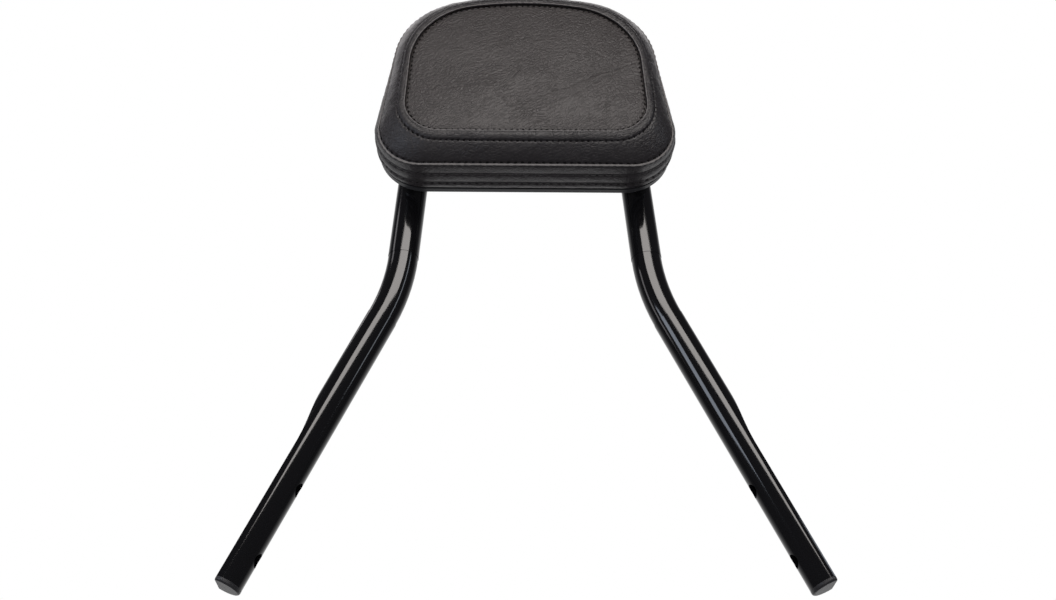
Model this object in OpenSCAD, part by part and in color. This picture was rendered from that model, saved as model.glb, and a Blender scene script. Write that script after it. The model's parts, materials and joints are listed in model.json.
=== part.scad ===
// Backrest for the tail of a motorcycle: a bent steel hoop with splayed legs carries a stitched,
// padded backrest on two cross straps. Hoop plane upright, padded face toward -Y, leg ends at Z = 0.

/* [Hoop] */
// Outside diameter of the hoop tube
tube_d = 22.2; // [19:0.2:26]
// Wall of the hoop tube
tube_wall = 2; // [1.5:0.1:3]
// Distance from the middle to the centre of each leg end
leg_tip_x = 194; // [185:1:202]
// Height of the bend in each leg
leg_bend_z = 226; // [216:1:240]
// Lean of the lower legs, degrees from upright
leg_lean = 25; // [22:0.5:27]
// Lean of the hoop above the bend, degrees from upright
hoop_lean = 4.5; // [2:0.5:6]
// Centre line radius of the bend in each leg
leg_bend_r = 150; // [120:2:170]
// Height of the hoop's top, to the tube's centre line
hoop_top_z = 426; // [418:1:430]
// Centre line radius of the hoop's top corners
crown_bend_r = 48; // [40:1:60]

/* [Pressed leg ends] */
// How far each leg's outer side is pressed in
press_depth = 6; // [5:0.1:6.6]
// Length of the full press, measured from the leg end
press_len = 107; // [96:1:122]
// Length over which the press runs out
press_run = 50; // [40:1:62]
// Radius of the bolt holes through the legs
hole_r = 5; // [4:0.1:6]
// Distance of the lower hole from the leg end
hole_first = 24.5; // [22:0.5:32]
// Distance between the two holes of a leg
hole_pitch = 54; // [45:0.5:70]

/* [End caps] */
// Thickness of the cap's head
cap_head = 3; // [2.5:0.1:4]
// Radius of the rounding on the cap's rim
cap_round = 1.6; // [1:0.1:2]
// Depth of the cap's plug in the tube
cap_plug = 12; // [8:0.5:15]
// Clearance between the plug and the tube
cap_gap = 0.3; // [0.2:0.05:0.5]

/* [Straps] */
// Thickness of the cross straps
strap_t = 3; // [2:0.5:4]
// Height of the cross straps
strap_h = 24; // [20:1:30]
// Height of the lower strap's middle
lower_strap_z = 336; // [330:1:345]
// Height of the upper strap's middle
upper_strap_z = 392; // [386:1:396]
// Radius of the straps' corners
strap_corner = 4; // [2:0.5:6]
// How far the straps reach past the tubes' centre lines
strap_past = 4; // [2:0.5:6]
// Gap between a strap and the tube it is welded to
weld_gap = 0.2; // [0.1:0.05:0.4]

/* [Pad outline] */
// Radius of the pad's lower corners at the back
back_corner_r = 37; // [33:1:42]
// Radius of the pad's lower corners at the front seam
front_corner_r = 51.8; // [46:0.2:54]
// Half distance between the centres of the front lower corners
front_corner_x = 57; // [54:0.2:60]
// Radius of the pad's upper corners
top_corner_r = 58.3; // [52:0.1:62]
// Half distance between the centres of the upper corners
top_corner_x = 41; // [36:0.5:44]
// Height of the centres of the upper corners
top_corner_z = 391.9; // [386:0.1:394]
// Radius of the pad's arched top edge
top_arch_r = 230; // [180:5:300]
// How much further out the lower corners reach at the back than at the front
back_wider = 0.8; // [0.6:0.1:1]
// Height of the pad's straight bottom edge
pad_bottom_z = 299.3; // [296:0.1:302]

/* [Pad layers] */
// Thickness of the moulded back plate
plate_t = 4; // [3:0.5:5]
// How far the back plate stands inside the pad's edge
plate_inset = 1.5; // [1:0.1:3]
// Thickness of the dust cover on the back
dust_t = 0.8; // [0.5:0.1:1.2]
// Thickness of the wooden board
board_t = 9; // [7:0.5:10]
// Thickness of the leather
hide_t = 1.4; // [1:0.1:1.6]
// How far the hem stands inside the pad's edge
hem_in = 1.8; // [1.4:0.1:2.4]
// Width of the hem that is turned under the board
hem_turn = 8; // [6:0.5:12]
// How far the dust cover stands inside the hem's edge
cover_in = 3; // [2:0.5:4]
// Gap between the back plate and the hem of the cover
hem_gap = 3; // [2:0.1:4]
// Height of the lower boxing strip
lower_strip = 7.7; // [7:0.1:9]
// Height of the middle boxing strip
middle_strip = 11.5; // [10:0.1:13]
// Height of the upper boxing strip
upper_strip = 11.5; // [10:0.1:13]
// Step from one boxing strip to the next
strip_step = 0.8; // [0.5:0.1:1.2]
// Height of the bevel round the face
bevel_h = 12.5; // [10:0.5:14]
// Inset of the bevel at the lower edge
bevel_inset = 19.5; // [18:0.5:21]
// Radius of the lower corners of the centre panel
panel_corner_r = 25; // [22:0.5:30]
// How much narrower the centre panel's upper corners are set
panel_top_in = 11.2; // [9:0.2:13]
// Extra inset of the centre panel's lower corners at the sides
panel_side_in = 2; // [1:0.5:3]
// How much smaller the radius of the centre panel's upper corners is than the pad's
panel_top_less = 3; // [2:0.5:5]
// How much less the bevel is inset at the upper edge
panel_top_up = 3.7; // [3:0.1:4.4]
// Rise of the centre panel's dome
dome_h = 3; // [2:0.5:4]
// Radius of the rolled seam round the centre panel
roll_r = 1.8; // [1.4:0.1:2.2]

/* [Side flaps] */
// Length of the overlapped joint on each side of the pad
flap_len = 26; // [20:1:34]
// Height of the middle of each side joint
flap_z = 352; // [340:1:360]

/* [Fasteners] */
// Radius of the pad bolts
bolt_r = 3; // [2.5:0.5:3]
// Radius of the button heads
bolt_head_r = 5.25; // [5:0.25:6]
// Height of the button heads
bolt_head_h = 3.2; // [2.5:0.1:3.5]
// Across-flats width of the hexagon socket
socket_af = 4; // [3:0.5:4]
// Depth of the hexagon socket
socket_depth = 2; // [1.5:0.1:2.4]
// Radius of the flat washers
washer_r = 7; // [6.5:0.1:8]
// Thickness of the flat washers
washer_t = 1.2; // [1:0.1:1.6]
// Radius of the spring washers
spring_r = 5.4; // [5:0.1:6]
// Thickness of the spring washers
spring_t = 1.4; // [1:0.1:1.6]
// Half distance between the pad bolts on a strap
bolt_x = 46; // [38:1:50]
// Clearance round the bolts
bolt_gap = 0.4; // [0.3:0.05:0.6]
// Radius of the tee nuts' flanges
tee_r = 9; // [8:0.5:10]
// Thickness of the tee nuts' flanges
tee_t = 1.5; // [1.2:0.1:2]
// Radius of the tee nuts' barrels
tee_barrel_r = 4.2; // [4:0.1:4.6]

/* [Hidden] */
$fn = 96;
black_steel = [0.03, 0.03, 0.035];
black_plastic = [0.06, 0.06, 0.065];
black_hide = [0.16, 0.15, 0.15];
black_cloth = [0.08, 0.08, 0.09];
zinc = [0.72, 0.72, 0.7];
birch = [0.72, 0.58, 0.4];
cream_foam = [0.82, 0.76, 0.6];

tube_r = tube_d / 2;
bore_r = tube_r - tube_wall;
leg_tip_z = (tube_r - cap_round) * sin(leg_lean) + cap_round * (1 - cos(leg_lean));
bend_turn = leg_lean - hoop_lean;
bend_x = leg_tip_x - (leg_bend_z - leg_tip_z) * tan(leg_lean);
bend_cut = leg_bend_r * tan(bend_turn / 2);
leg_len = (leg_bend_z - leg_tip_z) / cos(leg_lean) - bend_cut;
crown_turn = 90 - hoop_lean;
crown_cut = crown_bend_r * tan(crown_turn / 2);
upper_len = (hoop_top_z - leg_bend_z) / cos(hoop_lean) - bend_cut - crown_cut;
corner_x = bend_x - (hoop_top_z - leg_bend_z) * tan(hoop_lean);
top_half = corner_x - crown_cut;
run_steps = 6;
bend_thin = 0.25;
tangent_in = 0.03;
joint_lap = 0.5;

strap_n = tube_r + weld_gap;
plate_n = strap_n + strap_t;
dust_n = plate_n + plate_t;
hem_n = dust_n + dust_t;
board_n = hem_n + hide_t;
wall_n = dust_n + hem_gap;
lower_top = wall_n + lower_strip;
middle_top = lower_top + middle_strip;
seam_n = middle_top + upper_strip;
panel_n = seam_n + bevel_h;
face_n = panel_n + dome_h;
foam_n = board_n + board_t;
spring_n = strap_n - washer_t - spring_t;
bolt_end_n = foam_n - 0.5;
hoop_y = (face_n - tube_r) / 2;

layer_gap = 0.3;
slice = 0.5;
bevel_drop = roll_r + 0.2;
back_corner_x = front_corner_x + front_corner_r - back_corner_r + back_wider;
inner_grow = -hem_in - hide_t - layer_gap;
pad_mid_z = 378;

// An outline is its lower corners' [radius, half distance, height of centre], then its upper corners'.
back_shape = [
    [back_corner_r, back_corner_x, pad_bottom_z + back_corner_r],
    [top_corner_r, top_corner_x, top_corner_z]
];
front_shape = [
    [front_corner_r, front_corner_x, pad_bottom_z + front_corner_r],
    [top_corner_r, top_corner_x, top_corner_z]
];
panel_shape = [
    [
        panel_corner_r,
        front_corner_x + front_corner_r - bevel_inset - panel_side_in - panel_corner_r,
        pad_bottom_z + bevel_inset + panel_corner_r
    ],
    [
        top_corner_r - panel_top_less,
        top_corner_x - panel_top_in,
        top_corner_z + panel_top_less + panel_top_up - bevel_inset
    ]
];

function smooth(t) = t * t * (3 - 2 * t);
function side_turn(s) = atan2(s[1][2] - s[0][2], s[1][1] - s[0][1])
    - acos((s[0][0] - s[1][0]) / norm([s[1][1] - s[0][1], s[1][2] - s[0][2]]));
function arch_turn(s) = asin(s[1][1] / (top_arch_r - s[1][0]));
function arch_z(s) = s[1][2] - (top_arch_r - s[1][0]) * cos(arch_turn(s));

// Turns a shape drawn with its outline in XY and its depth along Z into the upright pad frame.
module upright() {
    translate([0, hoop_y, 0]) rotate([90, 0, 0]) children();
}

module both_sides() {
    children();
    mirror([1, 0, 0]) children();
}

// Places a shape drawn along +Z at the right leg's end: +X is the leg's outer side, -Z is the end.
module at_leg() {
    translate([leg_tip_x, 0, leg_tip_z]) rotate([0, -leg_lean, 0]) children();
}

module to_pad_bolts() {
    for (z = [lower_strap_z, upper_strap_z])
        for (x = [-bolt_x, bolt_x])
            translate([x, z, 0]) children();
}

// Half of the hoop, from the right leg's end to the end of the top corner's bend.
module half_hoop() {
    at_leg() {
        lower_leg();
        translate([0, 0, leg_len])
            bend(leg_bend_r, bend_turn) {
                pipe(upper_len);
                translate([0, 0, upper_len]) mirror([1, 0, 0]) bend(crown_bend_r, crown_turn);
            }
    }
}

// Straight tube of length h that laps a little into the bend at each end.
module pipe(h) {
    translate([0, 0, -joint_lap])
        difference() {
            cylinder(h = h + 2 * joint_lap, r = tube_r);
            translate([0, 0, -1]) cylinder(h = h + 2 * joint_lap + 2, r = bore_r);
        }
}

// A bend toward +X of the given centre line radius and angle, with the next run at its far end.
module bend(radius, turn) {
    translate([radius, 0, 0]) {
        rotate([90, 0, 0])
            rotate([0, 0, 180 - turn])
                rotate_extrude(angle = turn)
                    translate([radius, 0])
                        difference() {
                            circle(tube_r - bend_thin);
                            circle(bore_r + bend_thin);
                        }
        rotate([0, turn, 0]) translate([-radius, 0, 0]) children();
    }
}

// Straight lower leg: its outer side is pressed flat to the end and it has two holes across.
module lower_leg() {
    difference() {
        translate([0, 0, cap_head]) cylinder(h = leg_len + joint_lap - cap_head, r = tube_r);
        press_space(tube_r);
        difference() {
            translate([0, 0, -1]) cylinder(h = leg_len + joint_lap + 2, r = bore_r);
            press_space(bore_r);
        }
        for (z = [hole_first, hole_first + hole_pitch])
            translate([-tube_d, 0, z]) rotate([0, 90, 0]) cylinder(h = 2 * tube_d, r = hole_r);
    }
}

// Space outside the pressed flat of a leg, for a tube surface of radius r.
module press_space(r) {
    flat_x = r - press_depth;
    far_x = flat_x + tube_d;
    run_end = press_len + press_run;
    rotate([90, 0, 0])
        linear_extrude(height = 4 * tube_r, center = true)
            polygon([
                [far_x, -tube_r],
                [flat_x, -tube_r],
                for (i = [0:run_steps])
                    [flat_x + press_depth * smooth(i / run_steps), press_len + press_run * i / run_steps],
                [r + 0.4, run_end + press_run / run_steps],
                [far_x, run_end + press_run / run_steps]
            ]);
}

module hoop_tube() {
    color(black_steel)
        translate([0, hoop_y, 0]) {
            both_sides() half_hoop();
            translate([-top_half, 0, hoop_top_z]) rotate([0, 90, 0]) pipe(2 * top_half);
        }
}

// Cap for the right leg's end: a rounded head that follows the leg's section and a plug in its bore.
module end_cap() {
    translate([0, hoop_y, 0])
        at_leg() {
            difference() {
                rotate_extrude() cap_profile();
                press_space(tube_r);
            }
            difference() {
                translate([0, 0, cap_head - 0.01]) cylinder(h = cap_plug, r = bore_r - cap_gap);
                press_space(bore_r - cap_gap);
            }
        }
}

module cap_profile() {
    union() {
        square([tube_r - cap_round, cap_head]);
        translate([0, cap_round]) square([tube_r, cap_head - cap_round]);
        intersection() {
            translate([tube_r - cap_round, cap_round]) circle(cap_round);
            square([tube_r, cap_round]);
        }
    }
}

module left_end_cap() {
    color(black_plastic) mirror([1, 0, 0]) end_cap();
}

module right_end_cap() {
    color(black_plastic) end_cap();
}

// A flat strap across the front of the hoop, with rounded ends and its two bolt holes.
module strap(z) {
    reach = bend_x - (z - leg_bend_z) * tan(hoop_lean) + strap_past;
    color(black_steel)
        upright()
            difference() {
                translate([0, z, strap_n])
                    linear_extrude(height = strap_t)
                        union() {
                            square([2 * reach, strap_h - 2 * strap_corner], center = true);
                            square([2 * reach - 2 * strap_corner, strap_h], center = true);
                            for (x = [strap_corner - reach, reach - strap_corner])
                                for (y = [strap_corner - strap_h / 2, strap_h / 2 - strap_corner])
                                    translate([x, y]) circle(strap_corner);
                        }
                bolt_holes(bolt_r + bolt_gap);
            }
}

module bolt_holes(r) {
    to_pad_bolts() cylinder(h = 2 * face_n, r = r, center = true);
}

module upper_strap() {
    strap(upper_strap_z);
}

module lower_strap() {
    strap(lower_strap_z);
}

// Rounded outline with an arched top, grown evenly.
module outline(s, grow = 0) {
    low = s[0];
    high = s[1];
    low_r = low[0] + grow;
    high_r = high[0] + grow;
    turn = side_turn(s);
    arch = arch_turn(s);
    arch_r = top_arch_r + grow - tangent_in;
    low_in = low_r - tangent_in;
    high_in = high_r - tangent_in;
    union() {
        for (side = [-1, 1]) {
            translate([side * low[1], low[2]]) circle(low_r);
            translate([side * high[1], high[2]]) circle(high_r);
        }
        polygon([
            [-low[1], low[2] - low_in],
            [low[1], low[2] - low_in],
            [low[1] + low_in * cos(turn), low[2] + low_in * sin(turn)],
            [high[1] + high_in * cos(turn), high[2] + high_in * sin(turn)],
            [high[1], high[2]],
            [-high[1], high[2]],
            [-high[1] - high_in * cos(turn), high[2] + high_in * sin(turn)],
            [-low[1] - low_in * cos(turn), low[2] + low_in * sin(turn)]
        ]);
        intersection() {
            translate([0, arch_z(s)]) circle(arch_r, $fn = 360);
            polygon([
                [-high[1], high[2]],
                [high[1], high[2]],
                [2 * arch_r * sin(arch), arch_z(s) + 2 * arch_r * cos(arch)],
                [-2 * arch_r * sin(arch), arch_z(s) + 2 * arch_r * cos(arch)]
            ]);
        }
    }
}

// Prism of an outline between two depths.
module layer(s, grow, from, to) {
    translate([0, 0, from]) linear_extrude(height = to - from) outline(s, grow);
}

module back_plate() {
    color(black_plastic)
        upright()
            difference() {
                layer(back_shape, -plate_inset, plate_n, dust_n);
                bolt_holes(bolt_r + bolt_gap);
            }
}

module dust_cover() {
    color(black_cloth)
        upright()
            difference() {
                layer(back_shape, -hem_in - cover_in, dust_n, hem_n);
                bolt_holes(bolt_r + bolt_gap);
            }
}

module back_board() {
    color(birch)
        upright()
            difference() {
                layer(back_shape, inner_grow, board_n, foam_n);
                bolt_holes(tee_barrel_r + layer_gap);
            }
}

// Lowest strip of the boxing: its hem steps in and turns under the board.
module lower_boxing() {
    color(black_hide)
        upright()
            difference() {
                union() {
                    layer(back_shape, -hem_in, hem_n, wall_n);
                    layer(back_shape, 0, wall_n, lower_top);
                }
                layer(back_shape, inner_grow + layer_gap, board_n, lower_top + 1);
                layer(back_shape, -hem_in - hem_turn, hem_n - 1, board_n + 1);
            }
}

module middle_boxing() {
    color(black_hide)
        upright()
            difference() {
                layer(back_shape, strip_step, lower_top, middle_top);
                layer(back_shape, strip_step - 2 * hide_t, lower_top - 1, middle_top + 1);
            }
}

// Upper strip: its outside runs from the back outline to the front outline.
module upper_boxing() {
    color(black_hide)
        upright()
            difference() {
                hull() {
                    layer(back_shape, strip_step / 2, middle_top, middle_top + slice, $fn = 48);
                    layer(front_shape, 0, seam_n - slice, seam_n, $fn = 48);
                }
                layer(front_shape, -2 * hide_t, middle_top - 1, seam_n + 1);
            }
}

// Solid under the bevel, from the front outline in to the edge of the centre panel.
module bevel_body() {
    hull() {
        layer(front_shape, 0, seam_n - slice, seam_n, $fn = 48);
        layer(panel_shape, roll_r, panel_n - slice, panel_n, $fn = 48);
    }
}

module bevel_panel() {
    clip_x = back_corner_x + 2 * back_corner_r;
    color(black_hide)
        upright()
            intersection() {
                difference() {
                    bevel_body();
                    translate([0, 0, -bevel_drop]) bevel_body();
                    layer(panel_shape, roll_r + 0.1, seam_n, face_n);
                }
                translate([-clip_x, pad_bottom_z - back_corner_r, seam_n])
                    cube([2 * clip_x, top_corner_z + 2 * top_corner_r - pad_bottom_z, face_n]);
            }
}

// Rolled edge along an outline, its section stepped in two.
module cord(s, r) {
    band(s, r, r / 2);
    band(s, 0.6 * r, r);
}

module band(s, half_w, half_h) {
    difference() {
        layer(s, half_w, -half_h, half_h);
        layer(s, -half_w, -half_h - 1, half_h + 1);
    }
}

module seam_roll() {
    color(black_hide)
        upright()
            translate([0, 0, panel_n]) cord(panel_shape, roll_r);
}

// Shallow dome inside the rolled seam, standing on the given depth.
module dome(base_n) {
    hull() {
        layer(panel_shape, -roll_r - 0.1, base_n - bevel_h / 2, base_n, $fn = 48);
        dome_slice(0.84, base_n + 0.6 * dome_h);
        dome_slice(0.6, base_n + 0.9 * dome_h);
        dome_slice(0.35, base_n + dome_h);
    }
}

module dome_slice(size, n) {
    translate([0, pad_mid_z * (1 - size), n - slice])
        linear_extrude(height = slice) scale([size, size]) outline(panel_shape, -roll_r, $fn = 48);
}

module centre_panel() {
    color(black_hide)
        upright()
            difference() {
                dome(panel_n);
                dome(panel_n - hide_t);
                layer(panel_shape, 0, panel_n - bevel_h, panel_n - roll_r / 2);
            }
}

module foam_core() {
    color(cream_foam)
        upright()
            difference() {
                union() {
                    layer(back_shape, inner_grow, foam_n, middle_top - layer_gap);
                    layer(front_shape, inner_grow - 1, middle_top - layer_gap, seam_n);
                    bevel_foam();
                    dome(panel_n - hide_t - 0.1);
                }
                to_pad_bolts()
                    translate([0, 0, foam_n - 1])
                        cylinder(h = 1 + tee_t + layer_gap, r = tee_r + layer_gap);
            }
}

module bevel_foam() {
    foam_top = panel_n - bevel_drop - 0.2;
    hull() {
        layer(front_shape, inner_grow - 0.2, seam_n - 1, seam_n, $fn = 48);
        layer(panel_shape, roll_r - 1, foam_top - slice, foam_top, $fn = 48);
    }
}

// Overlapped joint of the boxing on the right side of the pad.
module side_flap() {
    upright()
        intersection() {
            difference() {
                layer(back_shape, strip_step + hide_t, lower_top + 1, middle_top - 1);
                layer(back_shape, strip_step + 0.1, lower_top, middle_top);
            }
            translate([back_corner_x, flap_z - flap_len / 2, lower_top])
                cube([3 * back_corner_r, flap_len, middle_strip]);
        }
}

module left_side_flap() {
    color(black_hide) mirror([1, 0, 0]) side_flap();
}

module right_side_flap() {
    color(black_hide) side_flap();
}

module tee_nuts() {
    color(zinc)
        upright()
            to_pad_bolts()
                difference() {
                    union() {
                        translate([0, 0, foam_n]) cylinder(h = tee_t, r = tee_r);
                        translate([0, 0, board_n + 1]) cylinder(h = board_t - 1, r = tee_barrel_r);
                    }
                    translate([0, 0, board_n]) cylinder(h = 2 * board_t, r = bolt_r + layer_gap);
                }
}

// Button-head bolts, driven from behind the straps.
module pad_bolts() {
    color(zinc)
        upright()
            to_pad_bolts()
                difference() {
                    union() {
                        translate([0, 0, spring_n]) cylinder(h = bolt_end_n - spring_n, r = bolt_r);
                        translate([0, 0, spring_n - bolt_head_h]) rotate_extrude() head_profile();
                    }
                    translate([0, 0, spring_n - bolt_head_h - 1])
                        cylinder(h = socket_depth + 1, r = socket_af / sqrt(3), $fn = 6);
                }
}

module head_profile() {
    flat_r = 0.6 * bolt_head_r;
    polygon([
        [0, 0],
        [flat_r, 0],
        [0.85 * bolt_head_r, 0.35 * bolt_head_h],
        [bolt_head_r, 0.8 * bolt_head_h],
        [bolt_head_r, bolt_head_h],
        [0, bolt_head_h]
    ]);
}

module ring(from, t, r) {
    upright()
        to_pad_bolts()
            translate([0, 0, from])
                difference() {
                    cylinder(h = t, r = r);
                    translate([0, 0, -1]) cylinder(h = t + 2, r = bolt_r + bolt_gap);
                }
}

module spring_washers() {
    color(zinc) ring(spring_n, spring_t, spring_r);
}

module flat_washers() {
    color(zinc) ring(strap_n - washer_t, washer_t, washer_r);
}

hoop_tube();
left_end_cap();
right_end_cap();
upper_strap();
lower_strap();
back_plate();
dust_cover();
back_board();
lower_boxing();
middle_boxing();
upper_boxing();
left_side_flap();
right_side_flap();
bevel_panel();
seam_roll();
centre_panel();
foam_core();
tee_nuts();
pad_bolts();
spring_washers();
flat_washers();
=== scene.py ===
import json
import math
import bpy
import numpy as np
from mathutils import Matrix, Vector


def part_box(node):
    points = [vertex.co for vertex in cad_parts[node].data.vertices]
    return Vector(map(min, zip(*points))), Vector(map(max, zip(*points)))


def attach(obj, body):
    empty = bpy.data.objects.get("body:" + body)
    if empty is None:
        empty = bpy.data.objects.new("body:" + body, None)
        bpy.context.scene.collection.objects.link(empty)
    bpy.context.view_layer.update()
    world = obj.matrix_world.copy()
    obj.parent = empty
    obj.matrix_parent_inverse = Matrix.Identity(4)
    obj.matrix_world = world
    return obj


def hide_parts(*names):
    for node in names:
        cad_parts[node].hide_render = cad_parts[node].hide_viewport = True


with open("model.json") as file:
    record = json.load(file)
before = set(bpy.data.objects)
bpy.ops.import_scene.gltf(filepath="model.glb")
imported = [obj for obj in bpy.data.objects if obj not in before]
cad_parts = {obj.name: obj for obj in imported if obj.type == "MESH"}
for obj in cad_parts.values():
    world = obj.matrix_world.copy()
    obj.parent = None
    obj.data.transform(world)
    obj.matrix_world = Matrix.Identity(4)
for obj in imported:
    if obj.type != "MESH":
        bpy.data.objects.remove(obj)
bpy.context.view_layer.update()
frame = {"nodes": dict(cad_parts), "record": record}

# Shapes are worked out in mm as (x, z, n), with n the height over the hoop's plane towards the pad's face.
MM = 0.001
rng = np.random.default_rng(7)


def cad(node, axis, end):
    """One side of a CAD node's box in mm; end is 0 for its lowest and 1 for its highest."""
    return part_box(node)[end][axis] / MM


HOOP_Y = (cad("hoop_tube", 1, 0) + cad("hoop_tube", 1, 1)) / 2


def depth(node):
    """Height n of a CAD node's front."""
    return HOOP_Y - cad(node, 1, 0)


# Layers of the pad, read back from the frame so that both stay together.
HEM_GAP = 3.0
HEM_N = depth("dust_cover")
BOARD_N = depth("back_board")
WALL_N = depth("back_plate") + HEM_GAP
LOWER_TOP = depth("lower_boxing")
MIDDLE_TOP = depth("middle_boxing")
SEAM_N = depth("upper_boxing")
PANEL_N = depth("bevel_panel")
BOTTOM = cad("lower_boxing", 2, 0)

# Outlines of the pad: (radius, x, z) of the lower corners, the same of the upper corners, radius of the top.
BACK = ((37.0, 72.6, BOTTOM + 37.0), (58.3, 41.0, 391.9), 230.0)
FRONT = ((30.0, 76.0, BOTTOM + 30.0), (57.3, 39.4, 391.9), 229.0)
PANEL = ((25.0, 62.3, BOTTOM + 44.5), (55.3, 29.8, 379.1), 230.0)
# Points along half the bottom, a lower corner, a side, an upper corner and the top.
BOTTOM_POINTS, CORNER_POINTS, SIDE_POINTS, SHOULDER_POINTS, TOP_POINTS = 75, 80, 70, 90, 90

# Sewing: the distance between stitches, and how far each row lies from the seam beside it.
TOP_PITCH, SEAM_PITCH, SIDE_PITCH = 4.2, 5.0, 5.4
STRIP_STITCH_IN = 1.7
SEAM_STITCH_IN = 1.3
TUCK = 2.2
# How far in, and how far inside its own seam, each turned-in row of a strip lies.
TURNED_IN = ((TUCK, 0.25), (0.9, 0.08))
SEAM_GAP = 0.15


def outline(shape, grow=0.0):
    """Points (x, z) and outward normals round an outline grown by grow, from the bottom's middle."""
    (low_r, low_x, low_z), (high_r, high_x, high_z), top_r = shape
    reach = math.hypot(high_x - low_x, high_z - low_z)
    side = math.atan2(high_z - low_z, high_x - low_x) - math.acos((low_r - high_r) / reach)
    lean = math.asin(high_x / (top_r - high_r))
    top_z = high_z - (top_r - high_r) * math.cos(lean)
    down, up, left = -math.pi / 2, math.pi / 2, math.pi - side
    bottom_z = low_z - low_r - grow
    points, normals = [], []

    def on(x, z, radius, angle):
        return (x + (radius + grow) * math.cos(angle), z + (radius + grow) * math.sin(angle))

    def line(start, end, angle, count):
        for i in range(count):
            t = i / count
            points.append((start[0] + (end[0] - start[0]) * t, start[1] + (end[1] - start[1]) * t))
            normals.append((math.cos(angle), math.sin(angle)))

    def arc(x, z, radius, first, last, count):
        for i in range(count):
            angle = first + (last - first) * i / count
            points.append(on(x, z, radius, angle))
            normals.append((math.cos(angle), math.sin(angle)))

    line((0, bottom_z), (low_x, bottom_z), down, BOTTOM_POINTS)
    arc(low_x, low_z, low_r, down, side, CORNER_POINTS)
    line(on(low_x, low_z, low_r, side), on(high_x, high_z, high_r, side), side, SIDE_POINTS)
    arc(high_x, high_z, high_r, side, up - lean, SHOULDER_POINTS)
    arc(0, top_z, top_r, up - lean, up + lean, TOP_POINTS)
    arc(-high_x, high_z, high_r, up + lean, left, SHOULDER_POINTS)
    line(on(-high_x, high_z, high_r, left), on(-low_x, low_z, low_r, left), left, SIDE_POINTS)
    arc(-low_x, low_z, low_r, left, math.pi - down, CORNER_POINTS)
    line((-low_x, bottom_z), (0, bottom_z), down, BOTTOM_POINTS)
    return np.array(points), np.array(normals)


def mix(a, b, t):
    return a * (1 - t) + b * t


def ridge(distance, at, width):
    """A rounded rise of height 1 where distance equals at."""
    return np.exp(-((distance - at) / width) ** 2)


def waves(points, length, seed):
    """Smooth pseudo-random heights over points in mm, about -1 to 1, in three octaves of five waves."""
    draw = np.random.default_rng(seed)
    total = np.zeros(points.shape[:-1])
    size = 1.0
    for octave in range(3):
        pace = 2 * math.pi / length * 1.9 ** octave
        for _ in range(5):
            heading = draw.normal(size=points.shape[-1])
            heading /= np.linalg.norm(heading)
            phase = pace * (points @ heading) * draw.uniform(0.7, 1.3) + draw.uniform(0, 7)
            total += size / 5 * np.sin(phase)
        size *= 0.55
    return total


def arc_lengths(path):
    """Distance along a closed path at each of its points and, last, its whole length."""
    steps = np.linalg.norm(np.roll(path, -1, 0) - path, axis=1)
    return np.concatenate([[0], np.cumsum(steps)])


def pucker(path, height, pitch):
    """Rise between the stitches of a row that follows path, lowest at each stitch's middle."""
    along = arc_lengths(path)
    return height * np.cos(2 * math.pi * along[:-1] * int(along[-1] / pitch) / along[-1])


# Meshes
def place(points):
    """Metres in the CAD's frame for points (x, z, n) in mm."""
    x, z, n = points[..., 0], points[..., 1], points[..., 2]
    return np.stack([x * MM, (HOOP_Y - n) * MM, z * MM], -1).reshape(-1, 3)


def mesh(name, points, faces):
    data = bpy.data.meshes.new(name)
    data.from_pydata([tuple(p) for p in place(points)], [], [tuple(f) for f in faces])
    data.validate()
    data.update()
    data.polygons.foreach_set("use_smooth", [True] * len(data.polygons))
    piece = bpy.data.objects.new(name, data)
    bpy.context.scene.collection.objects.link(piece)
    return piece


def grid_faces(rows, columns, wrap=True):
    """Quads between the rows of a grid; wrap also joins each row's end to its start."""
    faces = []
    for i in range(rows - 1):
        start = i * columns
        for j in range(columns if wrap else columns - 1):
            k = (j + 1) % columns
            faces.append((start + j, start + k, start + columns + k, start + columns + j))
    return faces


def skin(name, grid):
    """A mesh over a grid of rows that each run once round."""
    return mesh(name, grid, grid_faces(len(grid), grid.shape[1]))


def at_height(points, n):
    return np.column_stack([points, np.full(len(points), n)])


def stack(rows):
    """A grid from rows of (outline points, n)."""
    return np.stack([at_height(points, n) for points, n in rows])


def tube(path, normals, wide, high, n, angles):
    """A grid round a rope or bead that follows a flat path at height n; wide may change along it."""
    heights = np.full(len(path), n)
    rows = []
    for angle in angles:
        flat = path + normals * (wide * math.cos(angle))[:, None]
        rows.append(np.column_stack([flat, heights + high * math.sin(angle)]))
    return np.stack(rows)


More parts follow.
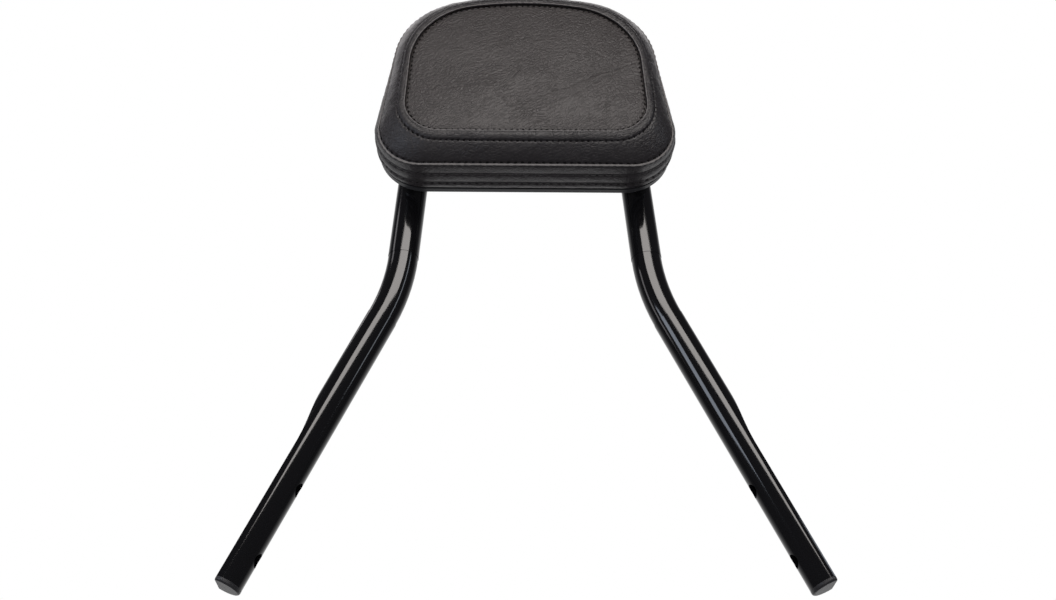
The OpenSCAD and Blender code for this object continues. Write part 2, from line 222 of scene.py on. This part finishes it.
def stitches(name, path, normals, pitch=TOP_PITCH, thread=0.55, proud=0.05):
    """Short threads along a closed row of points; each bows up in the middle and dips at its ends."""
    along = arc_lengths(path)
    closed, facing = np.vstack([path, path[:1]]), np.vstack([normals, normals[:1]])
    total = along[-1]
    count = int(total / pitch)
    step = total / count
    sides, rings = 6, 5
    filled, slimmer, flatter, dip, glance = 0.6, 0.35, 0.75, 0.55, 0.2
    points, faces = [], []

    def read(values, distance):
        return np.array([np.interp(distance, along, values[:, axis]) for axis in range(3)])

    for i in range(count):
        middle = (i + 0.5) * step
        half = step * filled / 2 * rng.uniform(0.92, 1.06)
        base = len(points)
        for ring_no in range(rings):
            t = ring_no / (rings - 1) * 2 - 1
            distance = (middle + t * half) % total
            centre = read(closed, distance)
            out = read(facing, distance)
            out /= np.linalg.norm(out)
            ahead = read(closed, (distance + glance) % total) - centre
            ahead /= max(np.linalg.norm(ahead), 1e-9)
            across = np.cross(ahead, out)
            radius = thread * (1 - slimmer * t * t)
            lift = proud - dip * t * t
            for side in range(sides):
                angle = 2 * math.pi * side / sides
                rise = lift + radius * flatter * math.sin(angle)
                points.append(centre + out * rise + across * radius * math.cos(angle))
        thread_faces = grid_faces(rings, sides)
        thread_faces.append(tuple(reversed(range(sides))))
        thread_faces.append(tuple((rings - 1) * sides + side for side in range(sides)))
        faces += [tuple(base + corner for corner in face) for face in thread_faces]
    return mesh(name, np.array(points), faces)


back_line, back_normals = outline(BACK)
front_line, front_normals = outline(FRONT)
panel_line, panel_normals = outline(PANEL)


# Boxing: three strips, each a little full, its edges turned in at the seams.
def around(front_share, grow):
    """The pad's outline between the back's and the front's, grown by grow."""
    return mix(outline(BACK, grow)[0], outline(FRONT, grow)[0], front_share)


def at_back(n):
    return 0.0


def towards_front(n):
    """How far the upper strip has gone from the back's outline to the front's at height n."""
    return min(max((n - MIDDLE_TOP) / (SEAM_N - MIDDLE_TOP), 0), 1) ** 1.3


def full_profile(n0, n1, low, high, bulge, count):
    """Rows (growth, n) of a strip from n0 to n1 that grows from low to high and bulges between."""
    rows = [(low - tuck, n0 + inside) for tuck, inside in TURNED_IN]
    for i in range(count + 1):
        t = i / count
        growth = mix(low, high, t) + bulge * math.sin(math.pi * t) ** 0.7
        rows.append((growth, n0 + SEAM_GAP + (n1 - n0 - 2 * SEAM_GAP) * t))
    return rows + [(high - tuck, n1 - inside) for tuck, inside in reversed(TURNED_IN)]


def strip(name, profile, front_share, seed):
    sag, ripple, drawn_in = 0.25, 0.12, 0.2
    heights = np.array([n for _, n in profile])
    normals = np.stack([mix(back_normals, front_normals, front_share(n)) for _, n in profile])
    grid = stack([(around(front_share(n), grow), n) for grow, n in profile])
    from_edge = np.minimum(heights - heights.min(), heights.max() - heights)[:, None]
    shift = sag * waves(grid, 38, seed) + ripple * waves(grid, 9, seed + 1)
    shift = shift * np.clip(from_edge / 2.0, 0, 1)
    sewn = ridge(heights.max() - heights, STRIP_STITCH_IN, 0.7)[:, None]
    shift = shift + sewn * (pucker(back_line, 0.14, SIDE_PITCH) - drawn_in)
    grid[..., :2] += normals * shift[..., None]
    return skin(name, grid)


HEM_IN, HEM_TURN, HEM_EDGE = 1.8, 9.5, 0.4
hem = [
    (-HEM_TURN, HEM_N),
    (-HEM_IN - HEM_EDGE, HEM_N),
    (-HEM_IN, HEM_N + HEM_EDGE),
    (-HEM_IN, WALL_N - HEM_EDGE),
]
lower_profile = hem + full_profile(WALL_N, LOWER_TOP, low=-0.7, high=-0.5, bulge=0.9, count=16)[1:]
middle_profile = full_profile(LOWER_TOP, MIDDLE_TOP, low=-0.3, high=0.0, bulge=1.0, count=22)
upper_profile = full_profile(MIDDLE_TOP, SEAM_N, low=0.1, high=0.2, bulge=0.7, count=24)
lower = strip("lower_strip_hide", lower_profile, at_back, 11)
middle = strip("middle_strip_hide", middle_profile, at_back, 21)
upper = strip("upper_strip_hide", upper_profile, towards_front, 31)

# Bevel: a puffed panel between the outer seam and the rolled seam, topstitched near the roll. At the roll it
# ends in a lip, an arc of radius LIP_R whose centre lies LIP_OUT outside the centre panel's outline.
TOPSTITCH_IN = 5.0 + 1.8 * np.clip(-panel_normals[:, 1], 0, 1) ** 2
BEVEL_ROWS = 80
BEVEL_PUFF, EDGE_PUFF, GROOVE = 2.5, 0.8, 0.5
LIP_R = 1.15
LIP_OUT, LIP_N = 0.9, PANEL_N + 1.15
LIP_START = math.radians(72)
LIP_ANGLES = np.radians(range(84, 228, 12))
LOW_N, HIGH_N = SEAM_N + 0.2, LIP_N + LIP_R * math.sin(LIP_START)

seam_line, _ = outline(FRONT, 0.2)
roll_line, _ = outline(PANEL, LIP_OUT + LIP_R * math.cos(LIP_START))
slope = at_height(roll_line - seam_line, HIGH_N - LOW_N)
width = np.linalg.norm(slope, axis=1)
uphill = slope / width[:, None]
bevel_normals = at_height(mix(front_normals, panel_normals, 0.5), 0.0)
bevel_normals -= (bevel_normals * uphill).sum(1)[:, None] * uphill
bevel_normals /= np.linalg.norm(bevel_normals, axis=1)[:, None]


def bevel_height(t):
    """Height over the flat bevel at fraction t, given per outline point."""
    from_seam = t * width
    from_roll = width - from_seam
    puff = BEVEL_PUFF * np.clip(np.sin(math.pi * np.clip(t, 0, 1)), 0, 1) ** 0.7
    puff = puff + EDGE_PUFF * np.sin(math.pi * np.clip(from_roll / TOPSTITCH_IN, 0, 1)) ** 0.8
    groove = -GROOVE * ridge(from_roll, TOPSTITCH_IN, 1.0) - GROOVE * ridge(from_seam, SEAM_STITCH_IN, 0.9)
    return puff + groove


def bevel_at(t):
    """Points of the bevel's skin at fraction t, a number or one value per outline point."""
    t = t * np.ones(len(seam_line))
    flat = np.column_stack([mix(seam_line, roll_line, t[:, None]), mix(LOW_N, HIGH_N, t)])
    return flat + bevel_normals * bevel_height(t)[:, None]


def beside_panel(grow, n):
    return at_height(outline(PANEL, grow)[0], n)


topstitch_row = bevel_at(1 - TOPSTITCH_IN / width)
seam_stitch_row = bevel_at(SEAM_STITCH_IN / width)


def make_bevel():
    tucked = at_height(seam_line - front_normals * TUCK, SEAM_N + 0.05)
    lip = [beside_panel(LIP_OUT + LIP_R * math.cos(a), LIP_N + LIP_R * math.sin(a)) for a in LIP_ANGLES]
    grid = np.stack([tucked] + [bevel_at(i / BEVEL_ROWS) for i in range(BEVEL_ROWS + 1)] + lip)
    t = np.concatenate([[0], np.linspace(0, 1, BEVEL_ROWS + 1), [1] * len(lip)])[:, None]
    from_seam, from_roll = t * width[None, :], (1 - t) * width[None, :]
    x, z, n = grid[..., 0], grid[..., 1], grid[..., 2]
    sag, ripple, arc_height = 0.4, 0.14, 0.15
    shift = sag * waves(grid, 46, 41) + ripple * waves(grid, 11, 42)
    # Fine arcs across the lower bevel, where the leather is pulled round the foam's corner.
    arcs = np.sin(0.75 * x + 0.35 * n + 2.0 * waves(grid, 40, 43)) * np.clip(waves(grid, 30, 44) + 0.1, 0, 1)
    shift = shift + arc_height * arcs * np.clip((BOTTOM + 40 - z) / 30, 0, 1)
    shift = shift * np.clip(np.sin(math.pi * t), 0, 1) ** 0.6
    shift = shift + pucker(topstitch_row, 0.3, TOP_PITCH) * ridge(from_roll, TOPSTITCH_IN, 1.3)
    shift = shift + pucker(seam_stitch_row, 0.24, SEAM_PITCH) * ridge(from_seam, SEAM_STITCH_IN, 1.2)
    return skin("bevel_hide", grid + bevel_normals[None] * shift[..., None])


bevel = make_bevel()


# Rolled seam: the rope inside the bevel's lip.
def make_roll():
    radius, lumps, sides = 0.9, 0.03, 14
    path, normals = outline(PANEL, LIP_OUT + radius)
    uneven = radius + lumps * waves(path, 25, 51)
    angles = [2 * math.pi * side / sides for side in list(range(sides)) + [0]]
    return skin("roll_hide", tube(path, normals, uneven, uneven, PANEL_N + 0.2, angles))


roll = make_roll()

# Centre panel: pulled down at its seam, slightly full, with stretch creases: start, end and depth of each.
CREASES = [
    ((3, 345), (77, 380), 0.24),
    ((34, 350), (62, 370), 0.2),
    ((-62, 356), (-22, 360), 0.2),
    ((10, 338), (36, 352), 0.16),
    ((-46, 327), (-40, 341), 0.14),
    ((19, 334), (24, 352), 0.12),
    ((-30, 392), (2, 404), 0.1),
    ((38, 398), (60, 384), 0.1),
    ((-10, 362), (-2, 378), 0.1),
    ((48, 340), (66, 352), 0.12),
    ((-70, 350), (-58, 372), 0.12),
]
CREASE_DEPTH = 2.2
PANEL_RINGS = 96
PANEL_MIDDLE = np.array([0.0, 377.0])
# The panel's edge lies sunk, rises steeply out of the ditch and then slowly to the crown: (height, reach).
SUNK, STEEP, SLOW = 1.0, (1.5, 1.8), (3.6, 28)
DITCH_IN = 2.5
ditch_row = beside_panel(LIP_OUT - LIP_R - 1.35, PANEL_N + 0.15)


def creases(points):
    """Heights of the creases, each a narrow ditch with a low bank beside it."""
    total = np.zeros(points.shape[:-1])
    bend = 1.6 * waves(points, 34, 63) + 0.25 * waves(points, 7, 64)
    for start, end, deep in CREASES:
        start, end = np.array(start, float), np.array(end, float)
        run = end - start
        length = np.linalg.norm(run)
        t = ((points - start) @ run) / length ** 2
        aside = ((points - start) @ np.array([-run[1], run[0]])) / length + bend
        ends = np.clip(1 - ((t - 0.5) / 0.6) ** 4, 0, 1)
        bank = 0.25 * np.exp(-((aside - 1.6) / 1.5) ** 2)
        total += CREASE_DEPTH * deep * ends * (bank - np.exp(-(aside / 0.55) ** 2))
    return total


def make_panel():
    edge, _ = outline(PANEL, LIP_OUT)
    shares = [i / PANEL_RINGS for i in range(1, PANEL_RINGS + 1)]
    flat = np.stack([PANEL_MIDDLE + (edge - PANEL_MIDDLE) * (1 - (1 - t) ** 1.25) for t in shares])
    from_edge = np.linalg.norm(edge[None] - flat, axis=2)
    steep = STEEP[0] * (1 - np.exp(-from_edge / STEEP[1]))
    slow = SLOW[0] * (1 - np.exp(-(from_edge / SLOW[1]) ** 1.3))
    sag, ripple = 0.08, 0.05
    n = PANEL_N - SUNK + steep + slow
    n += sag * waves(flat, 52, 61) * np.clip(from_edge / 12, 0, 1) + ripple * waves(flat, 12, 62)
    n += creases(flat)
    n += pucker(ditch_row, 0.14, TOP_PITCH) * ridge(from_edge, DITCH_IN, 1.6)
    columns = flat.shape[1]
    hub = len(flat) * columns
    points = np.vstack([np.dstack([flat, n]).reshape(-1, 3), [[*PANEL_MIDDLE, n[0].mean()]]])
    faces = [face[::-1] for face in grid_faces(len(flat), columns)]
    faces += [(hub, j, (j + 1) % columns) for j in range(columns)]
    return mesh("centre_hide", points, faces)


panel = make_panel()

# Padding under the skins.
foam = skin("foam_fill", stack([
    (outline(BACK, -4.0)[0], BOARD_N + 0.2),
    (outline(BACK, -4.0)[0], MIDDLE_TOP),
    (outline(FRONT, -3.0)[0], SEAM_N - 0.5),
    (outline(PANEL, 0.0)[0], PANEL_N - 3.0),
    (outline(PANEL, -14.0)[0], PANEL_N - 1.5),
    (outline(PANEL, -24.0)[0], PANEL_N - 1.0),
]))


# Raw edges: thin, slightly ragged lips at the outer seam and along the bevel's inner edge; the one along the
# bevel's inner edge sits on the lip's crest as a painted highlight.
def bead(name, shape, grow, n, wide, high, rag):
    path, normals = outline(shape, grow)
    grid = tube(path, normals, wide + rag, high, n, np.linspace(0, 2 * math.pi, 9))
    grid[..., 2] += 0.3 * rag
    return skin(name, grid)


seam_rag = 0.16 * waves(front_line, 4, 71) + pucker(seam_stitch_row, 0.2, SEAM_PITCH)
lip_highlight_wobble = 0.08 * waves(panel_line, 5, 72) + pucker(ditch_row, 0.1, TOP_PITCH)
seam_edge = bead("seam_edge_hide", FRONT, 0.35, SEAM_N + 0.1, 0.8, 0.55, seam_rag)
# The lip's pale bead is a painted highlight on the crest of the rolled lip.
lip_highlight = bead("lip_painted_highlight", PANEL, LIP_OUT - 0.45, LIP_N + LIP_R - 0.2, 0.38, 0.32, lip_highlight_wobble)


# Stitch rows
def side_row(name, grow, strip_top):
    path = at_height(around(0.0, grow), strip_top - STRIP_STITCH_IN)
    return stitches(name, path, at_height(back_normals, 0.0), pitch=SIDE_PITCH, thread=0.28)


face_normals = np.tile([0, 0, 1.0], (len(ditch_row), 1))
threads = [
    side_row("stitches_upper_seam", 0.1, MIDDLE_TOP),
    side_row("stitches_lower_seam", -0.1, LOWER_TOP),
    stitches("stitches_bevel", topstitch_row, bevel_normals),
    stitches("stitches_bevel_edge", seam_stitch_row, bevel_normals, pitch=SEAM_PITCH),
    stitches("stitches_panel", ditch_row, face_normals, proud=0.25),
]


# Side flaps: a lapped end of the boxing on each side, 1 for the right and -1 for the left.
def flap(name, side):
    rows, inmost_x = 25, 60
    fullness, ripple, turned_in = 1.1, 0.12, 1.8
    low_z, high_z = cad("right_side_flap", 2, 0) - 1, cad("right_side_flap", 2, 1) + 3
    n0, n1 = LOWER_TOP - 1.0, SEAM_N - 1.2
    x, z = back_line[:, 0], back_line[:, 1]
    keep = np.where((x * side > inmost_x) & (z > low_z) & (z < high_z))[0]
    keep = keep[np.argsort(z[keep])]
    from_end = np.minimum(np.arange(len(keep)), np.arange(len(keep))[::-1])
    grid = []
    for i in range(rows):
        t = i / (rows - 1)
        n = mix(n0, n1, t)
        points = around(towards_front(n), 0.7)[keep]
        normals = mix(back_normals, front_normals, towards_front(n))[keep]
        rise = fullness * math.sin(math.pi * min(1.0, 1.6 * t + 0.2)) ** 0.5
        rise = rise * np.clip(from_end / 3, 0, 1) ** 0.5 + ripple * waves(points, 9, 81)
        if i in (0, rows - 1):
            rise = rise - turned_in
        rise = np.where(from_end == 0, -1.6, rise)
        wavy_n = np.full(len(keep), n) + 0.5 * np.sin(points[:, 1] / 7)
        grid.append(np.column_stack([points + normals * rise[:, None], wavy_n]))
    faces = [face[::side] for face in grid_faces(rows, len(keep), wrap=False)]
    return mesh(name, np.stack(grid), faces)


left_flap, right_flap = flap("left_flap_hide", -1), flap("right_flap_hide", 1)


# Materials
def material(name):
    made = bpy.data.materials.new(name)
    made.use_nodes = True
    return made, made.node_tree, made.node_tree.nodes["Principled BSDF"]


def feed(tree, target, inputs):
    """Sets a node's inputs, each to a value or to the output of another node."""
    for key, value in inputs.items():
        if isinstance(value, bpy.types.NodeSocket):
            tree.links.new(value, target.inputs[key])
        else:
            target.inputs[key].default_value = value


def node(tree, kind, inputs, output=0, **settings):
    """Adds a shader node of that kind and returns one of its outputs."""
    made = tree.nodes.new("ShaderNode" + kind)
    for key, value in settings.items():
        setattr(made, key, value)
    feed(tree, made, inputs)
    return made.outputs[output]


def bump(tree, height, distance, strength, below=None, invert=False):
    """A normal tilted by height, of that distance in metres, on top of the normal below."""
    inputs = {"Height": height, "Distance": distance, "Strength": strength}
    if below:
        inputs["Normal"] = below
    return node(tree, "Bump", inputs, invert=invert)


def leather(name, tint, rough, grain, swell):
    """Grained hide: stretched cells that flow with the skin, fine cracks in patches, a broad unevenness."""
    made, tree, surface = material(name)
    where = node(tree, "TexCoord", {}, "Object")
    flow = node(tree, "TexNoise", {"Vector": where, "Scale": 32.0, "Detail": 3.0}, "Color")
    carried = node(tree, "VectorMath", {0: flow, 1: (0.014,) * 3, 2: where}, operation="MULTIPLY_ADD")
    lie = {"Vector": carried, "Rotation": (0, -0.6, 0), "Scale": (2.0, 1.0, 1.0)}
    stretched = node(tree, "Mapping", lie, vector_type="TEXTURE")

    broad = node(tree, "TexNoise", {"Vector": where, "Scale": 38.0, "Detail": 4.0, "Roughness": 0.6})
    folds = node(tree, "TexNoise", {"Vector": stretched, "Scale": 520.0, "Detail": 2.0, "Roughness": 0.5})
    grid = {"Vector": stretched, "Scale": 460.0}
    cells = node(tree, "TexVoronoi", grid, "Distance", feature="DISTANCE_TO_EDGE")
    specks = {"Vector": carried, "Scale": 1100.0}
    pores = node(tree, "TexVoronoi", specks, "Distance", feature="SMOOTH_F1")
    patches = node(tree, "MapRange", {"Value": broad, "From Min": 0.38, "From Max": 0.66, "To Min": 0.55})
    cracks = node(tree, "MapRange", {"Value": cells, "From Max": 0.22}, interpolation_type="SMOOTHSTEP")

    relief = bump(tree, broad, distance=0.0012 * swell, strength=0.5)
    relief = bump(tree, folds, distance=0.00026 * grain, strength=0.8, below=relief)
    relief = bump(tree, cracks, distance=0.00026 * grain, strength=patches, below=relief)
    relief = bump(tree, pores, distance=0.0002, strength=0.35, below=relief, invert=True)

    shade = node(tree, "MapRange", {"Value": folds, "To Min": 0.72, "To Max": 1.15})
    colour = node(tree, "VectorMath", {0: tint, "Scale": shade}, operation="SCALE")
    dull = node(tree, "MapRange", {"Value": broad, "To Min": rough - 0.01, "To Max": rough + 0.02})
    feed(tree, surface, {"Base Color": colour, "Roughness": dull, "Normal": relief})
    return made


def plain(name, tint, rough, texture=None, metal=0.0, shine=0.5):
    """One colour with a fine uneven surface; texture is its noise's scale, strength and height in metres."""
    made, tree, surface = material(name)
    feed(tree, surface, {
        "Base Color": (*tint, 1), "Roughness": rough, "Metallic": metal, "Specular IOR Level": shine})
    if texture:
        scale, strength, height = texture
        where = node(tree, "TexCoord", {}, "Object")
        noise = node(tree, "TexNoise", {"Vector": where, "Scale": scale, "Detail": 4.0})
        feed(tree, surface, {"Normal": bump(tree, noise, height, strength)})
    return made


def plywood(name):
    made, tree, surface = material(name)
    where = node(tree, "TexCoord", {}, "Object")
    layers = {"Vector": where, "Scale": 110.0, "Distortion": 2.0}
    plies = node(tree, "TexWave", layers, "Fac", bands_direction="Y")
    shade = node(tree, "MapRange", {"Value": plies, "To Min": 0.6})
    colour = node(tree, "VectorMath", {0: (0.5, 0.35, 0.2), "Scale": shade}, operation="SCALE")
    feed(tree, surface, {"Base Color": colour, "Roughness": 0.7})
    return made


looks = {
    "gloss_steel": plain("gloss_black_coat", (0.003, 0.003, 0.0035), 0.09, (45.0, 0.05, 0.0004)),
    "black_plastic": plain("satin_black_plastic", (0.014, 0.014, 0.016), 0.42, (900.0, 0.15, 0.0002)),
    "black_cloth": plain("black_nonwoven", (0.02, 0.02, 0.022), 0.9, (1500.0, 0.6, 0.0005)),
    "board": plywood("birch_board"),
    "black_hide": leather("side_leather", (0.0098, 0.0082, 0.0094), 0.43, grain=0.7, swell=0.6),
    "panel_hide": leather("panel_leather", (0.029, 0.0245, 0.0238), 0.46, grain=0.85, swell=0.35),
    "foam": plain("cream_foam", (0.75, 0.68, 0.5), 0.95, (900.0, 0.8, 0.001)),
    "zinc_steel": plain("zinc_plate", (0.62, 0.62, 0.6), 0.3, (700.0, 0.1, 0.0002), metal=1.0),
}
thread_look = plain("waxed_thread", (0.003, 0.003, 0.003), 0.85, shine=0.1)
# Pale edge colour: the raw cut edge at the outer seam, and a painted highlight on the lip's crest.
edge_and_highlight_look = plain("raw_edge_and_painted_highlight", (0.12, 0.112, 0.11), 0.65, (900.0, 0.8, 0.0006))

for row in frame["record"]["subparts"]:
    ob = frame["nodes"][row["node"]]
    for slot in ob.material_slots:
        slot.material = looks[row["material_slot"]]
    if not ob.material_slots:
        ob.data.materials.append(looks[row["material_slot"]])

for ob, slot_name, stands_for in (
    (panel, "panel_hide", "centre_panel"),
    (bevel, "black_hide", "bevel_panel"),
    (roll, "black_hide", "seam_roll"),
    (upper, "black_hide", "upper_boxing"),
    (middle, "black_hide", "middle_boxing"),
    (lower, "black_hide", "lower_boxing"),
    (left_flap, "black_hide", "left_side_flap"),
    (right_flap, "black_hide", "right_side_flap"),
    (foam, "foam", "foam_core"),
):
    ob.data.materials.append(looks[slot_name])
    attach(ob, "root")
    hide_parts(stands_for)
for ob in (seam_edge, lip_highlight):
    ob.data.materials.append(edge_and_highlight_look)
    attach(ob, "root")
for ob in threads:
    ob.data.materials.append(thread_look)
    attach(ob, "root")


# Stage: a pale floor that is only there from above, a white surround and soft lights.
def make_floor():
    bpy.ops.mesh.primitive_plane_add(size=40.0, location=(0, 0, -0.0005))
    floor = bpy.context.object
    floor.name = "floor"
    made, tree, surface = material("pale_floor")
    feed(tree, surface, {
        "Base Color": (0.25, 0.25, 0.25, 1), "Roughness": 1.0, "Specular IOR Level": 0.0,
        "Emission Color": (1, 1, 1, 1), "Emission Strength": 0.72})
    from_below = node(tree, "NewGeometry", {}, "Backfacing")
    clear = node(tree, "BsdfTransparent", {})
    both = node(tree, "MixShader", {0: from_below, 1: surface.outputs[0], 2: clear})
    feed(tree, tree.nodes["Material Output"], {"Surface": both})
    floor.data.materials.append(made)
    floor.visible_shadow = False
    floor.visible_glossy = False
    return floor


make_floor()
scene = bpy.context.scene


def make_surround():
    """White to the eye; reflections see the white only behind the object, and all else is dim."""
    world = scene.world or bpy.data.worlds.new("surround")
    scene.world = world
    world.use_nodes = True
    tree = world.node_tree
    tree.nodes.clear()

    def ray(kind):
        return node(tree, "LightPath", {}, kind)

    def maths(operation, first, second):
        return node(tree, "Math", {0: first, 1: second}, operation=operation)

    direction = node(tree, "TexCoord", {}, "Generated")
    y, z = [node(tree, "SeparateXYZ", {0: direction}, axis) for axis in "YZ"]
    behind = node(tree, "MapRange", {"Value": y, "From Min": 0.3, "From Max": 0.95})
    above = node(tree, "MapRange", {"Value": z, "From Min": -0.85, "From Max": -0.2})
    sweep = maths("MULTIPLY", behind, above)
    mirrored = maths("MULTIPLY", maths("MAXIMUM", ray("Is Glossy Ray"), ray("Is Transmission Ray")), sweep)
    white_seen = maths("MAXIMUM", ray("Is Camera Ray"), mirrored)
    white = node(tree, "Background", {"Color": (1, 1, 1, 1)})
    dim = node(tree, "Background", {"Color": (0.07, 0.068, 0.075, 1)})
    both = node(tree, "MixShader", {0: white_seen, 1: dim, 2: white})
    feed(tree, tree.nodes.new("ShaderNodeOutputWorld"), {"Surface": both})


make_surround()


def area(name, at, aim, size, power, tint):
    data = bpy.data.lights.new(name, "AREA")
    data.shape = "RECTANGLE"
    data.size, data.size_y = size
    data.energy = power
    data.color = tint
    lamp = bpy.data.objects.new(name, data)
    scene.collection.objects.link(lamp)
    lamp.location = at
    lamp.rotation_euler = (Vector(aim) - Vector(at)).to_track_quat("-Z", "Y").to_euler()


# Each light's place, aim, size, power in watts and tint.
area("front_softbox", (0.16, -1.4, 0.98), (0, 0, 0.33), (1.7, 0.48), 18.0, (1.0, 0.955, 0.925))
area("front_fill", (0.0, -1.4, -0.22), (0, 0, 0.28), (0.9, 0.33), 2.2, (1.0, 0.97, 0.97))
area("left_window", (-0.84, -0.71, 0.19), (0.12, 0.02, 0.15), (0.45, 0.3), 2.1, (0.78, 0.86, 1.0))
area("left_strip", (-1.5, -0.2, 0.68), (0, 0, 0.25), (0.3, 1.2), 2.2, (1.0, 0.97, 1.0))
area("right_strip", (1.4, -0.7, 0.55), (0, 0, 0.25), (0.16, 0.9), 1.6, (0.82, 0.9, 1.0))
area("top_softbox", (-0.1, 0.45, 1.35), (0, 0, 0.35), (1.7, 0.8), 8.0, (1.0, 0.96, 0.97))

# Camera: below the pad's normal by DROP, about a metre off, with a slight roll. Places are in mm.
PHOTO_WIDTH_PX, FOCAL_PX = 1056, 1440.0
SENSOR_WIDTH = 36.0
REACH, DROP, ROLL = 1031.0, math.radians(30), math.radians(-0.45)
CAMERA_X, AIM_X, AIM_Z = -21.0, 1.9, 217.5
camera_data = bpy.data.cameras.new("camera")
camera = bpy.data.objects.new("camera", camera_data)
scene.collection.objects.link(camera)
scene.camera = camera
camera_data.sensor_width = SENSOR_WIDTH
camera_data.lens = FOCAL_PX / PHOTO_WIDTH_PX * SENSOR_WIDTH
camera_data.clip_start, camera_data.clip_end = 0.05, 30
spot = Vector((CAMERA_X * MM, (HOOP_Y - math.cos(DROP) * REACH) * MM, (AIM_Z - math.sin(DROP) * REACH) * MM))
aim = Vector((AIM_X * MM, HOOP_Y * MM, AIM_Z * MM))
turned = (aim - spot).to_track_quat("-Z", "Y").to_matrix().to_4x4() @ Matrix.Rotation(ROLL, 4, "Z")
camera.matrix_world = Matrix.Translation(spot) @ turned

scene.view_settings.view_transform = "Standard"
